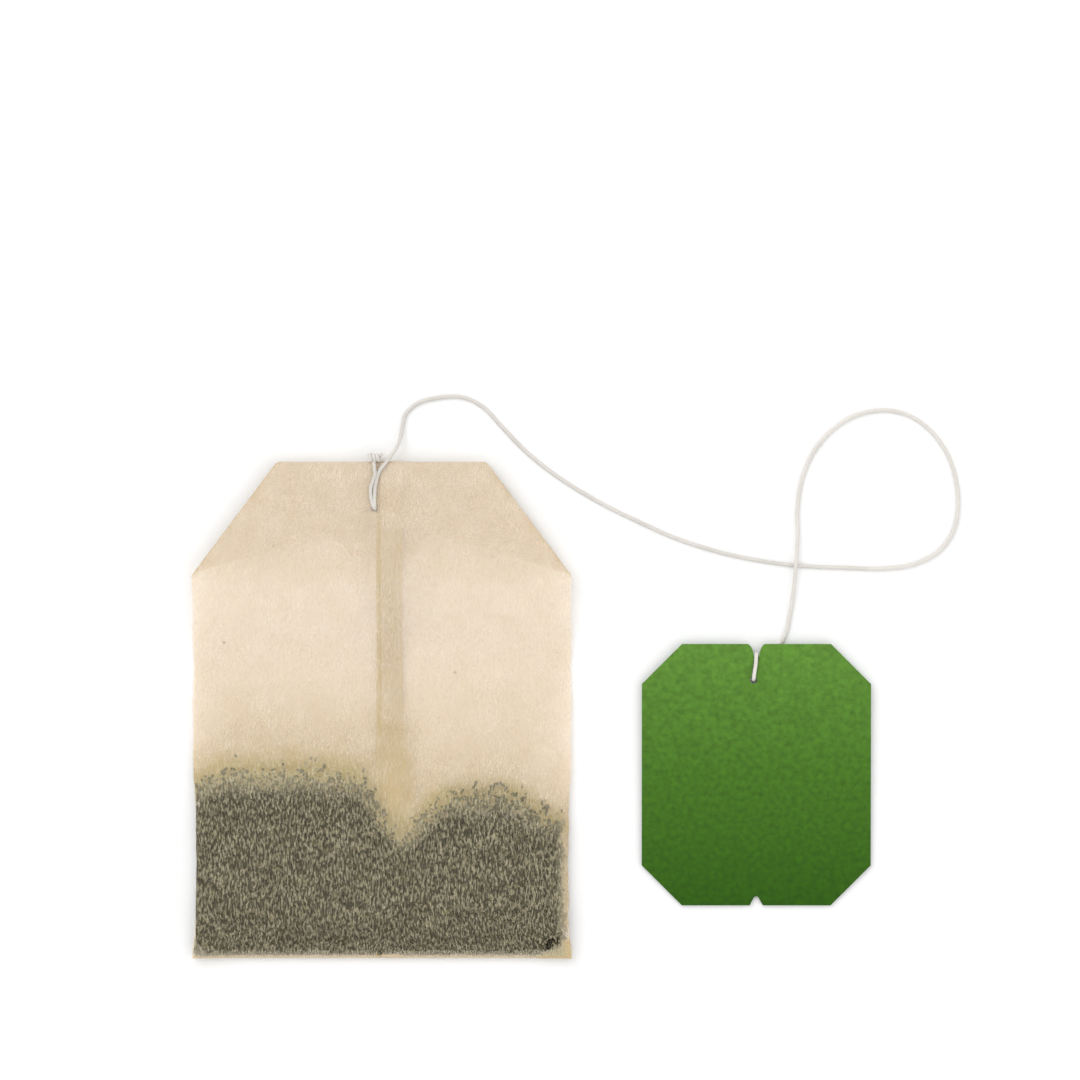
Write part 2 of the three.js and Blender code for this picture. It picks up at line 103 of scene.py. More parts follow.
string_route = [
    (-0.0008, 0.02452, 0.000685), (-0.0008, 0.02452, 0.0022), (-0.00083, 0.025, 0.0026),
    (-0.00083, 0.026, ON_HEAD), (-0.00077, 0.027, ON_HEAD), (-0.00058, 0.028, ON_HEAD),
    (-0.0004, 0.0287, ON_HEAD), (-0.0001, 0.0293, 0.0026), (0.00042, 0.02995, 0.0026),
    (0.0009, 0.0306, ON_HEAD), (0.0015, 0.0314, 0.00205),
    (0.002, 0.0324, 0.00135), (0.0023, 0.0335, 0.00075), (0.0025, 0.0348, 0.00036),
    (0.0028, 0.036, LYING), (0.0041, 0.0373, LYING), (0.0057, 0.0379, LYING),
    (0.0097, 0.0382, LYING), (0.0123, 0.037, LYING), (0.0146, 0.0346, LYING),
    (0.0175, 0.0316, LYING), (0.0211, 0.0287, LYING), (0.0264, 0.0254, LYING),
    (0.0306, 0.0233, LYING), (0.0365, 0.0207, LYING), (0.0434, 0.0187, LYING),
    (0.0506, 0.0176, LYING), (0.0568, 0.0173, LYING), (0.0615, 0.0172, LYING),
    (0.0653, 0.0178, LYING), (0.0681, 0.0193, LYING), (0.0699, 0.0218, LYING),
    (0.0705, 0.0248, LYING), (0.0702, 0.0282, LYING), (0.0691, 0.0314, LYING),
    (0.0671, 0.0341, LYING), (0.0644, 0.036, LYING), (0.0612, 0.0366, LYING),
    (0.0578, 0.0359, LYING), (0.055, 0.0341, LYING), (0.0528, 0.0315, LYING),
    (0.0514, 0.0283, LYING), (0.0508, 0.0244, 0.00032), (0.0508, 0.021, 0.00056),
    (0.05055, 0.0176, 0.00074), (0.0503, 0.0146, 0.00056), (0.0499, 0.0116, 0.0003),
    (0.0494, 0.0094, LYING), (0.0482, 0.0072, LYING), (0.0466, 0.005, LYING),
    (0.046, 0.0042, 0.0003), (0.04544, 0.0037, 0.00048), (0.0454, 0.00368, 0.00094),
    (0.0454, 0.00384, 0.00122), (0.0455, 0.0046, 0.00129), (0.04565, 0.0056, 0.00131),
    (0.0457, 0.00655, 0.00131), (0.04575, 0.00677, 0.00096), (0.0458, 0.0064, 0.00034),
    (0.04585, 0.0052, LYING), (0.04575, 0.004, LYING),
]
head_loop_route = [
    (-0.00068, 0.0245, 0.0008), (-0.00068, 0.02455, 0.00055), (-0.0007, 0.0248, 0.0003),
    (-0.00072, 0.0262, LYING), (-0.00075, 0.0285, LYING), (-0.00078, 0.0301, 0.00029),
    (-0.0008, 0.03075, 0.0006), (-0.00085, 0.03095, 0.0013), (-0.00088, 0.0308, 0.0021),
    (-0.0009, 0.0304, 0.0026), (-0.00088, 0.0299, 0.00266), (-0.00082, 0.0293, 0.0027),
    (-0.00076, 0.0287, 0.00274), (-0.001, 0.0279, 0.0027), (-0.0013, 0.0269, 0.0026),
    (-0.00127, 0.026, ON_HEAD), (-0.0011, 0.0252, 0.00262), (-0.00096, 0.0247, 0.0024),
    (-0.00094, 0.02452, 0.0013),
]
# The hitch is three turns side by side, wound over the head's edge, each in twelve steps.
hitch_route = [(-0.0011, 0.0309, 0.0008), (-0.0014, 0.0311, 0.0018)]
for step in range(3 * 12 + 1):
    wound = math.tau * step / 12
    hitch_route.append((
        -0.00144 + 0.00044 * step / 12,
        0.03073 + 0.00031 * math.cos(wound),
        0.00268 + 0.0003 * math.sin(wound),
    ))
hitch_route += [(-0.0001, 0.0311, 0.0018), (-0.0004, 0.0309, 0.0008)]


def along(route, step=0.0001):
    """Points a step apart on the smooth line through a route, which bends as a limp thread does."""
    knots = [np.array(knot) for knot in route]
    knots = [2 * knots[0] - knots[1], *knots, 2 * knots[-1] - knots[-2]]
    points = []
    for p0, p1, p2, p3 in zip(knots, knots[1:], knots[2:], knots[3:]):
        t1 = math.sqrt(np.linalg.norm(p1 - p0))
        t2 = t1 + math.sqrt(np.linalg.norm(p2 - p1))
        t3 = t2 + math.sqrt(np.linalg.norm(p3 - p2))
        count = max(2, round(np.linalg.norm(p2 - p1) / step))
        for t in np.linspace(t1, t2, count, endpoint=False):
            a1 = ((t1 - t) * p0 + t * p1) / t1
            a2 = ((t2 - t) * p1 + (t - t1) * p2) / (t2 - t1)
            a3 = ((t3 - t) * p2 + (t - t2) * p3) / (t3 - t2)
            b1 = ((t2 - t) * a1 + t * a2) / t2
            b2 = ((t3 - t) * a2 + (t - t1) * a3) / (t3 - t1)
            points.append(((t2 - t) * b1 + (t - t1) * b2) / (t2 - t1))
    return points + [knots[-2]]


def twisted_thread(name, route):
    """The three strands as one section with three lobes, drawn and turned along the route."""
    bpy.ops.object.select_all(action="DESELECT")
    bpy.ops.curve.primitive_bezier_circle_add(radius=THREAD / 2)
    strands = bpy.context.object
    strands.data.splines.clear()
    section = strands.data.splines.new("POLY")
    section.points.add(11)
    section.use_cyclic_u = True
    for i, point in enumerate(section.points):
        angle = math.radians(30 * i)
        reach = THREAD * (0.49 + 0.05 * math.cos(3 * angle))
        point.co = (reach * math.cos(angle), reach * math.sin(angle), 0, 1)

    bpy.ops.curve.primitive_bezier_curve_add()
    line = bpy.context.object
    line.name = name
    line.data.splines.clear()
    line.data.dimensions = "3D"
    line.data.twist_mode = "MINIMUM"
    spline = line.data.splines.new("POLY")
    points = along(route)
    spline.points.add(len(points) - 1)
    length = 0
    for i, place in enumerate(points):
        length += np.linalg.norm(place - points[i - 1]) if i else 0
        spline.points[i].co = (*place, 1)
        spline.points[i].tilt = math.tau * length / TWIST
    line.data.bevel_mode = "OBJECT"
    line.data.bevel_object = strands
    line.data.use_fill_caps = True
    bpy.ops.object.select_all(action="DESELECT")
    line.select_set(True)
    bpy.context.view_layer.objects.active = line
    bpy.ops.object.convert(target="MESH")
    bpy.ops.object.transform_apply(location=True, rotation=True, scale=True)
    bpy.ops.object.mode_set(mode="EDIT")
    bpy.ops.mesh.select_all(action="SELECT")
    bpy.ops.mesh.remove_doubles(threshold=0.000002)
    bpy.ops.mesh.normals_make_consistent(inside=False)
    bpy.ops.object.mode_set(mode="OBJECT")
    bpy.ops.object.shade_smooth()
    bpy.data.objects.remove(strands)
    print(name, "is", round(length, 4), "m long")
    return line, points


cotton = bpy.data.materials.new("twisted_cotton")
cotton.use_nodes = True
nodes, links = cotton.node_tree.nodes, cotton.node_tree.links
shader = nodes["Principled BSDF"]
shader.inputs["Roughness"].default_value = 0.85
shader.inputs["Specular IOR Level"].default_value = 0.25
shader.inputs["Sheen Weight"].default_value = 0.15
shader.inputs["Sheen Roughness"].default_value = 0.6
place = nodes.new("ShaderNodeTexCoord")
lint = nodes.new("ShaderNodeTexNoise")
lint.inputs["Scale"].default_value = 9000
lint.inputs["Detail"].default_value = 3
links.new(place.outputs["Object"], lint.inputs["Vector"])
stain = nodes.new("ShaderNodeTexNoise")
stain.inputs["Scale"].default_value = 260
stain.inputs["Detail"].default_value = 4
links.new(place.outputs["Object"], stain.inputs["Vector"])
shade = nodes.new("ShaderNodeValToRGB")
shade.color_ramp.elements[0].position = 0.3
shade.color_ramp.elements[0].color = (0.6, 0.57, 0.525, 1)
shade.color_ramp.elements[1].position = 0.7
shade.color_ramp.elements[1].color = (0.78, 0.75, 0.7, 1)
mixed = nodes.new("ShaderNodeMix")
mixed.data_type = "FLOAT"
mixed.inputs["Factor"].default_value = 0.4
links.new(lint.outputs["Fac"], mixed.inputs["A"])
links.new(stain.outputs["Fac"], mixed.inputs["B"])
links.new(mixed.outputs["Result"], shade.inputs["Fac"])
links.new(shade.outputs["Color"], shader.inputs["Base Color"])
fuzz = nodes.new("ShaderNodeBump")
fuzz.inputs["Strength"].default_value = 0.6
fuzz.inputs["Distance"].default_value = 0.00005
links.new(lint.outputs["Fac"], fuzz.inputs["Height"])
links.new(fuzz.outputs["Normal"], shader.inputs["Normal"])

string, string_line = twisted_thread("tea_string", string_route)
head_loop, _ = twisted_thread("head_loop", head_loop_route)
hitch, _ = twisted_thread("head_hitch", hitch_route)
for thread in (string, head_loop, hitch):
    thread.data.materials.clear()
    thread.data.materials.append(cotton)
    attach(thread, "root")
    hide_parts("string")

# ---- The filter paper ------------------------------------------------------------------------
# One strip of thin long-fibre paper, about 98 by 158 mm. Its long edges meet in a flat seam, which
# makes a tube with the seam inside. The tube is filled and folded in half with a W at the base. Its
# two ends are laid together: right corner under, left corner under, then the whole head under.

MM = 0.001
PAPER = 0.045  # thickness; every size in this section is in millimetres
PLY = 0.06  # from ply to ply where they lie flat together
HALF_WIDTH = 23.1
BASE_Y = -30.4
TOP_Y = 30.3
TUBE_END_Y = 42.2  # where the tube would end with the head not yet folded under
HEAD_FLAT_Y = 16  # the head lies flat above this
SEAM_ROOT_X = -0.3
SEAM_WIDTH = 2.8
SEAM_END_X = SEAM_ROOT_X + SEAM_WIDTH
GUSSET_TOP_Y = -25.6  # the middle of the W
CHARGE_DEPTH = 2.0  # of the tea in each chamber
PUFF = 0.2  # of the empty part of each chamber
SIDE_LIFT = 0.7  # of the side edges off the table
FLAT_REACH = 13  # how far from the middle the underside lies on the table
INNER_REST = PAPER / 2 + 0.0075  # of each inner ply from the plane between the chambers
SEAM_LIFT = 2 * PLY
GUSSET_REST = 0.39  # the same where the W lies between the inner plies
LEG_REST = 0.09  # of each leg of the W
HEAD_RISE = 1.885
FLAP_GAP = 0.015
FLAP_DROP = 0.24  # from a ply of the head to the same ply of a corner folded under it
CORNER_REACH = 28.25  # from the origin to the crease of each corner
HEAD_BULGE = 0.336  # how far the top fold stands out past its crease


def ease(value, low, high):
    """Goes smoothly from 0 at low to 1 at high."""
    share = np.clip((value - low) / (high - low), 0, 1)
    return share * share * (3 - 2 * share)


def tea_top(x):
    """Where the tea ends below the head: level on the left, with a dip at the seam."""
    dip = 6.3 * np.exp(-(((x - 2) / 3.4) ** 2))
    return -8 - 2.6 * ease(x, 0, 6) - 3.2 * ease(x, 15, 22) - 1.3 * ease(-x, 19, 23) - dip


def half_width(y):
    """The bag is a little narrower over the tea, and its side edges wave slightly."""
    wavy = 0.05 * np.sin(0.8 * y + 1) + 0.03 * np.sin(2.1 * y)
    return HALF_WIDTH - 0.35 * ease(y, BASE_Y, -25) * (1 - ease(y, -16, -4)) + wavy


def bulk(x, y):
    """How fully a chamber is stretched across, above its base and below the tea's top: 0 to 1."""
    across = np.clip(1 - np.abs(x / half_width(y)) ** 7, 0, 1) ** 0.6
    below_top = 1 - ease(y, tea_top(x) - 5, tea_top(x) + 7)
    return across, ease(y, -30.1, -23) ** 0.7, below_top


def chamber_depth(x, y):
    """From the inner ply to the outer ply of a chamber."""
    across, above_base, below_top = bulk(x, y)
    puff = PUFF * above_base * (1 - ease(y, 10, HEAD_FLAT_Y))
    return PLY + across * (puff + (CHARGE_DEPTH - PUFF) * above_base * below_top)


def lumps(x, y):
    """The soft dents that the leaf presses into the paper, from about -1 to 1."""
    waves = [(1.9, 0.7, 0.3), (-0.8, 1.6, 1.1), (1.2, -1.5, 2.0), (2.6, 1.1, 4.0), (-2.2, 1.9, 0.9)]
    return sum(
        np.sin(a * x + b * y + c) * np.cos(0.37 * b * x - 0.53 * a * y + c) for a, b, c in waves
    ) / 3


def inner_rest(x, y):
    """How far each inner ply lies from the plane between the chambers."""
    seam = ease(x, SEAM_ROOT_X - 1.5, SEAM_ROOT_X - 0.5) * (1 - ease(x, SEAM_END_X, SEAM_END_X + 1))
    gusset = 1 - ease(y, GUSSET_TOP_Y + 0.5, GUSSET_TOP_Y + 3)
    return (INNER_REST + SEAM_LIFT * seam) * (1 - gusset) + GUSSET_REST * gusset


def underside(x, y):
    """The bag lies flat along its middle, with its side edges and its head off the table."""
    past = np.clip((np.abs(x) - FLAT_REACH) / (HALF_WIDTH - FLAT_REACH), 0, 1)
    return SIDE_LIFT * past**3 * (1 - ease(y, -4, 8)) + HEAD_RISE * ease(y, 4, HEAD_FLAT_Y)


def middle(x, y):
    """Height of the plane between the two chambers."""
    return underside(x, y) + PAPER / 2 + chamber_depth(x, y) + inner_rest(x, y)


def front_ply(x, y):
    """Height of the front chamber's outer ply, with the dents of the leaf in it."""
    across, above_base, below_top = bulk(x, y)
    dents = 0.07 * lumps(x, y) * across * above_base * below_top
    return middle(x, y) + inner_rest(x, y) + chamber_depth(x, y) + dents


def beyond_crease(x, y):
    """How far a place lies past the crease across the bag's bottom right corner."""
    return 0.555 * (x - 20.2) - 0.832 * (y + 28.9)


# The strip's columns: across the flat sheet, each column's place on the folded tube and its level,
# which is 0 on an inner ply, 1 on an outer ply, and -1 and -2 on the two plies of the seam.
columns = [(SEAM_END_X - i * 0.65, -2) for i in range(5)]
columns += [(SEAM_ROOT_X, -2), (-0.5, -1.2), (-0.8, 0)]
columns += [(-HALF_WIDTH * math.sin(math.pi / 2 * i / 24), 0) for i in range(2, 24)]
columns += [(-HALF_WIDTH, 0.5)]
columns += [(HALF_WIDTH * math.sin(math.pi / 2 * i / 34), 1) for i in range(-33, 34)]
columns += [(HALF_WIDTH, 0.5)]
columns += [(HALF_WIDTH * math.sin(math.pi / 2 * i / 24), 0) for i in range(23, 2, -1)]
columns += [(SEAM_END_X, 0), (1.9, 0), (0.9, 0), (0.05, 0), (-0.15, -0.5)]
columns += [(0.5 + i * 0.6, -1) for i in range(4)] + [(SEAM_END_X, -1)]

# Its rows: down the front from the head, round the W at the base, and up the back to the head.
chamber_ys = [TUBE_END_Y - 1.31 * i for i in range(20)]
chamber_ys += [16 - i for i in range(24)] + [-8 - 0.7 * i for i in range(31)] + [-29.5, -29.9]
leg_ys = [-29.9, -29.2, -28.3, -27.4, -26.5, -25.9]
turn_radius = (GUSSET_REST - LEG_REST) / 2
turn_y = BASE_Y + turn_radius + PLY
turn_middle = (GUSSET_REST + LEG_REST) / 2
half_turn = [math.pi * i / 6 for i in range(7)]
rows = [("front", y, 0) for y in chamber_ys] + [("front_turn", turn_y, a) for a in half_turn]
rows += [("front_leg", y, 0) for y in leg_ys] + [("apex", GUSSET_TOP_Y, a) for a in half_turn]
rows += [("back_leg", y, 0) for y in leg_ys[::-1]] + [("back_turn", turn_y, a) for a in half_turn]
rows += [("back", y, 0) for y in chamber_ys[::-1]]

bpy.ops.object.select_all(action="DESELECT")
bpy.ops.mesh.primitive_grid_add(
    x_subdivisions=len(columns) - 1, y_subdivisions=len(rows) - 1, size=0.1
)
paper = bpy.context.object
paper.name = "filter_paper"

column_x = np.array([x for x, level in columns])
column_level = np.array([level for x, level in columns])
flat_x = np.concatenate([[0], np.cumsum(np.maximum(np.abs(np.diff(column_x)), 0.05))])
folded, flat, pressed = [], [], []
flat_y = 0
for i, (stretch, y, angle) in enumerate(rows):
    x = column_x * half_width(y) / HALF_WIDTH
    seam_ply = column_level < 0
    outer = column_level == 1
    in_chamber = stretch in ("front", "back")
    level = np.where(seam_ply, column_level * PLY, np.where(column_level == 0.5, PLY / 2, 0))
    level = np.where(outer, chamber_depth(x, y) if in_chamber else PLY, level)
    side = -1 if stretch.startswith("back") else 1
    if stretch == "front":
        z = np.where(outer, front_ply(x, y), middle(x, y) + inner_rest(x, y) + level)
    elif stretch == "back":
        z = middle(x, y) - inner_rest(x, y) - level
    elif stretch.endswith("leg"):
        z = middle(x, y) + side * (LEG_REST - level)
    elif stretch == "apex":
        z = middle(x, y) + (LEG_REST - level) * math.cos(angle)
    else:
        z = middle(x, y) + side * turn_middle + (turn_radius + level) * math.cos(angle)
    shift = 0
    if stretch == "apex":
        shift = (LEG_REST - level) * math.sin(angle)
    elif stretch.endswith("turn"):
        shift = -(turn_radius + level) * math.sin(angle)
    folded.append(np.stack([x, y + shift + 0 * x, z], axis=1))
    if i:
        flat_y += np.linalg.norm(np.diff([row[len(columns) // 2] for row in folded[-2:]], axis=0))
    flat.append(np.stack([flat_x, np.full(len(columns), flat_y)], axis=1))
    on_tea = np.where(x < 0, 1, ease(half_width(y) - x, 0.3, 1)) * ease(y, -30.7, -30.2)
    on_tea = on_tea * (1 - ease(y, tea_top(x) + 0.8, tea_top(x) + 2.6))
    pressed.append(np.where(outer & in_chamber, on_tea, 0))
folded, flat, pressed = (np.concatenate(each) for each in (folded, flat, pressed))
print("the flat strip is", round(flat_x[-1], 1), "by", round(flat_y, 1), "mm")

# Each vertex of the flat grid goes to its own place on the fold, and its place on the flat strip
# becomes its UV, so that the fibres run with the strip.
sheet = paper.data
order = sorted(range(len(sheet.vertices)), key=lambda i: (
    -round(sheet.vertices[i].co.y, 7), round(sheet.vertices[i].co.x, 7)))
station = np.empty(len(order), dtype=int)
station[order] = np.arange(len(order))
sheet.vertices.foreach_set("co", (folded[station] * MM).ravel())
corner_vertex = np.empty(len(sheet.loops), dtype=int)
sheet.loops.foreach_get("vertex_index", corner_vertex)
sheet.uv_layers.active.data.foreach_set("uv", (flat[station][corner_vertex] * MM).ravel())
press_layer = sheet.attributes.new("pressed_on_tea", "FLOAT", "POINT")
press_layer.data.foreach_set("value", pressed[station])

# Fine dust stains the paper above the tea, most of all on the inner ply and along the seam. A light
# stain lies over the rest, except on the clean paper below the head and by the side edges. The same
# map also paints shade into the fold along the bag's foot.
x, y = folded[station][:, 0], folded[station][:, 1]
above = y - tea_top(x)
uneven = 0.85 + 0.15 * np.sin(0.9 * x + 0.4 * y) * np.cos(0.47 * x - 0.8 * y + 1)
left_side = 1 - 0.35 * ease(x, 4, 9)
dust_and_painted_shade = np.exp(-np.clip(above, 0, None) / 3.4) * uneven * left_side * ease(above, -2.5, -0.5)
by_seam = 0.9 * np.exp(-(((x - 1.3) / 2.6) ** 2)) * (1 - ease(y, -10, 4)) * ease(above, -2.5, -0.5)
dust_and_painted_shade = np.maximum(dust_and_painted_shade, by_seam)
level_there = np.tile(column_level, len(rows))[station]
in_front = np.repeat([stretch == "front" for stretch, *_ in rows], len(columns))[station]
inner_ply = (level_there == 0) & in_front
dust_and_painted_shade = np.where(inner_ply, 2 * dust_and_painted_shade, 0.4 * dust_and_painted_shade)
near_seam = np.clip(1.3 - 0.05 * y, 0.85, 2.2) * (1 - ease(y, 20, 30))
dust_and_painted_shade = np.where(level_there < 0, near_seam, dust_and_painted_shade)
flap = 0.35 * (0.8 * np.abs(x) + 0.6 * y > CORNER_REACH)
# The paper along the right edge below the tea is made darker.
right_gap = 0.4 * ease(x, 21, 22) * (1 - ease(y, -14, -12))
# Painted shade: the band along the foot, where the paper turns into the fold, is darkened with the
# dust colour.
fold_shade_at_foot = 0.35 * (1 - ease(y, -30.4, -29.9))
past_crease = beyond_crease(x, y)
dust_and_painted_shade = np.maximum.reduce([dust_and_painted_shade, flap, right_gap, fold_shade_at_foot, 0.6 * ease(past_crease, 0.3, 0.6)])
# Along the crease the paper is made clearer, so that the darker flakes behind it show.
dust_and_painted_shade -= 0.5 * np.exp(-((past_crease / 0.4) ** 2)) * ease(x, 19.5, 20.3)
clean = np.maximum(ease(y, -2, 9), ease(np.abs(x), 18, 22.5) * ease(y, -9, -4))
dust_and_painted_shade += 0.075 * (1 - clean * (1 - ease(y, 15.5, 16.5)))
sheet.attributes.new("tea_dust_and_painted_shade", "FLOAT", "POINT").data.foreach_set("value", dust_and_painted_shade)
sheet.update()


def fold_under(across, reach, bend, stack_bottom, drop):
    """Creases the paper past a line, and folds what lies past it over and under the stack."""
    bpy.ops.object.select_all(action="DESELECT")
    paper.select_set(True)
    bpy.context.view_layer.objects.active = paper
    for i in range(5):
        there = (reach + bend * i / 4) * MM
        bpy.ops.object.mode_set(mode="EDIT")
        bpy.ops.mesh.select_all(action="SELECT")
        bpy.ops.mesh.bisect(
            plane_co=(across[0] * there, across[1] * there, 0),
            plane_no=(across[0], across[1], 0),
            threshold=0.00002,
        )
        bpy.ops.object.mode_set(mode="OBJECT")
    points = np.empty(len(sheet.vertices) * 3)
    sheet.vertices.foreach_get("co", points)
    points = points.reshape(-1, 3) / MM
    past = points[:, 0] * across[0] + points[:, 1] * across[1] - reach
    turned = np.clip(past / bend, 0, 1) * math.pi
    under = stack_bottom - drop - (points[:, 2] - stack_bottom)
    half = (points[:, 2] - under) / 2
    out = 0.4 * half * np.sin(turned) - np.clip(past - bend, 0, None)
    moved = past > 0
    points[moved, 0] += (across[0] * (out - past))[moved]
    points[moved, 1] += (across[1] * (out - past))[moved]
    points[moved, 2] += (half * (np.cos(turned) - 1))[moved]
    sheet.vertices.foreach_set("co", (points * MM).ravel())
    sheet.update()


fold_under((0.8, 0.6), CORNER_REACH, 0.35, HEAD_RISE, FLAP_GAP)
fold_under((-0.8, 0.6), CORNER_REACH, 0.5, HEAD_RISE, FLAP_GAP + FLAP_DROP)
fold_under((0, 1), TOP_Y - HEAD_BULGE, 1, HEAD_RISE - 2 * FLAP_DROP - FLAP_GAP, FLAP_GAP)

# The folded sheet gets its thickness, and the thread's hole is punched through the whole head.
bpy.ops.object.modifier_add(type="SOLIDIFY")
paper.modifiers["Solidify"].thickness = PAPER * MM
paper.modifiers["Solidify"].offset = 0
bpy.ops.object.modifier_apply(modifier="Solidify")

bpy.ops.mesh.primitive_cylinder_add(
    vertices=24, radius=0.00036, depth=0.008, location=(-0.00087, 0.02452, 0.001)
)
punch = bpy.context.object
bpy.ops.transform.resize(value=(1, 0.8, 1))
bpy.ops.object.select_all(action="DESELECT")
paper.select_set(True)
bpy.context.view_layer.objects.active = paper
bpy.ops.object.modifier_add(type="BOOLEAN")
paper.modifiers["Boolean"].object = punch
paper.modifiers["Boolean"].operation = "DIFFERENCE"
bpy.ops.object.modifier_apply(modifier="Boolean")
bpy.data.objects.remove(punch)
bpy.ops.object.shade_smooth_by_angle(angle=math.radians(40))

# Long fibres: thin pale streaks that mostly follow the strip's length, with some that cross it.
long_fibres = bpy.data.node_groups.new("long_fibres", "ShaderNodeTree")
long_fibres.interface.new_socket("Vector", in_out="INPUT", socket_type="NodeSocketVector")
long_fibres.interface.new_socket("Fibres", in_out="OUTPUT", socket_type="NodeSocketFloat")
long_fibres.interface.new_socket("Cloudy", in_out="OUTPUT", socket_type="NodeSocketFloat")
nodes, links = long_fibres.nodes, long_fibres.links
group_in = nodes.new("NodeGroupInput")
group_out = nodes.new("NodeGroupOutput")
streaks = []
for turn, fine, coarse in [(6, 4600, 1150), (-32, 4300, 1150), (50, 4000, 1250)]:
    lay = nodes.new("ShaderNodeMapping")
    lay.inputs["Rotation"].default_value[2] = math.radians(turn)
    lay.inputs["Scale"].default_value = (fine, coarse, 1)
    links.new(group_in.outputs["Vector"], lay.inputs["Vector"])
    streak = nodes.new("ShaderNodeTexNoise")
    streak.inputs["Scale"].default_value = 1
    streak.inputs["Detail"].default_value = 1.5
    links.new(lay.outputs["Vector"], streak.inputs["Vector"])
    streaks.append(streak)
most = nodes.new("ShaderNodeMath")
most.operation = "MAXIMUM"
links.new(streaks[0].outputs["Fac"], most.inputs[0])
links.new(streaks[1].outputs["Fac"], most.inputs[1])
both = nodes.new("ShaderNodeMath")
both.operation = "MAXIMUM"
links.new(most.outputs[0], both.inputs[0])
links.new(streaks[2].outputs["Fac"], both.inputs[1])
spread = nodes.new("ShaderNodeMapRange")
spread.inputs["From Min"].default_value = 0.55
spread.inputs["From Max"].default_value = 0.7
links.new(both.outputs[0], spread.inputs["Value"])
links.new(spread.outputs["Result"], group_out.inputs["Fibres"])
cloud = nodes.new("ShaderNodeTexNoise")
cloud.inputs["Scale"].default_value = 330
cloud.inputs["Detail"].default_value = 3
links.new(group_in.outputs["Vector"], cloud.inputs["Vector"])
links.new(cloud.outputs["Fac"], group_out.inputs["Cloudy"])

filter_paper = bpy.data.materials.new("filter_paper_fibres")
filter_paper.use_nodes = True
nodes, links = filter_paper.node_tree.nodes, filter_paper.node_tree.links
shader = nodes["Principled BSDF"]
shader.inputs["Roughness"].default_value = 0.8
shader.inputs["Specular IOR Level"].default_value = 0.15
on_sheet = nodes.new("ShaderNodeTexCoord")
fibres = nodes.new("ShaderNodeGroup")
fibres.node_tree = long_fibres
links.new(on_sheet.outputs["UV"], fibres.inputs["Vector"])
press = nodes.new("ShaderNodeAttribute")
press.attribute_name = "pressed_on_tea"
dust_and_shade_map = nodes.new("ShaderNodeAttribute")
dust_and_shade_map.attribute_name = "tea_dust_and_painted_shade"

# Each of the sheet's two faces lets most of the light through: less where a fibre lies, and more
# where the paper lies against the tea.
open_part = nodes.new("ShaderNodeMapRange")
open_part.inputs["To Min"].default_value = 0.135
open_part.inputs["To Max"].default_value = 0.27
links.new(fibres.outputs["Fibres"], open_part.inputs["Value"])
tea_part = nodes.new("ShaderNodeMapRange")
tea_part.inputs["To Min"].default_value = 0.02
tea_part.inputs["To Max"].default_value = 0.265
links.new(fibres.outputs["Fibres"], tea_part.inputs["Value"])
solid_share = nodes.new("ShaderNodeMix")
solid_share.data_type = "FLOAT"
links.new(press.outputs["Fac"], solid_share.inputs["Factor"])
links.new(open_part.outputs["Result"], solid_share.inputs["A"])
links.new(tea_part.outputs["Result"], solid_share.inputs["B"])
formed = nodes.new("ShaderNodeMapRange")
formed.inputs["From Min"].default_value = 0.3
formed.inputs["From Max"].default_value = 0.7
formed.inputs["To Min"].default_value = 0.72
formed.inputs["To Max"].default_value = 1.28
links.new(fibres.outputs["Cloudy"], formed.inputs["Value"])
uneven = nodes.new("ShaderNodeMath")
uneven.operation = "MULTIPLY"
links.new(solid_share.outputs["Result"], uneven.inputs[0])
links.new(formed.outputs["Result"], uneven.inputs[1])
with_dust_and_shade = nodes.new("ShaderNodeMath")
with_dust_and_shade.operation = "MULTIPLY_ADD"
with_dust_and_shade.inputs[1].default_value = 0.32
links.new(dust_and_shade_map.outputs["Fac"], with_dust_and_shade.inputs[0])
links.new(uneven.outputs[0], with_dust_and_shade.inputs[2])
links.new(with_dust_and_shade.outputs[0], shader.inputs["Alpha"])

tint = nodes.new("ShaderNodeValToRGB")
tint.color_ramp.elements[0].position = 0.3
tint.color_ramp.elements[0].color = (0.905, 0.785, 0.63, 1)
tint.color_ramp.elements[1].position = 0.7
tint.color_ramp.elements[1].color = (0.955, 0.862, 0.732, 1)
links.new(fibres.outputs["Cloudy"], tint.inputs["Fac"])
# This colour paints both the tea dust and the painted shade along the bag's foot.
dusty_and_shaded = nodes.new("ShaderNodeMix")
dusty_and_shaded.data_type = "RGBA"
dusty_and_shaded.inputs["B"].default_value = (0.64, 0.49, 0.2, 1)
links.new(dust_and_shade_map.outputs["Fac"], dusty_and_shaded.inputs["Factor"])
links.new(tint.outputs["Color"], dusty_and_shaded.inputs["A"])
stained = nodes.new("ShaderNodeMix")
stained.data_type = "RGBA"
stained.inputs["B"].default_value = (0.7, 0.63, 0.43, 1)
links.new(press.outputs["Fac"], stained.inputs["Factor"])
links.new(dusty_and_shaded.outputs["Result"], stained.inputs["A"])
links.new(stained.outputs["Result"], shader.inputs["Base Color"])
relief = nodes.new("ShaderNodeBump")
relief.inputs["Strength"].default_value = 0.5
relief.inputs["Distance"].default_value = 0.00003
links.new(fibres.outputs["Fibres"], relief.inputs["Height"])
links.new(relief.outputs["Normal"], shader.inputs["Normal"])
paper.data.materials.clear()
paper.data.materials.append(filter_paper)
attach(paper, "root")
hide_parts("filter_paper_bag")

# ---- The tea ---------------------------------------------------------------------------------
# Finely broken dry leaf fills both chambers up to an uneven line. Each charge is a dark bed with
# thousands of flakes on it, which lie flat against the paper that holds them.

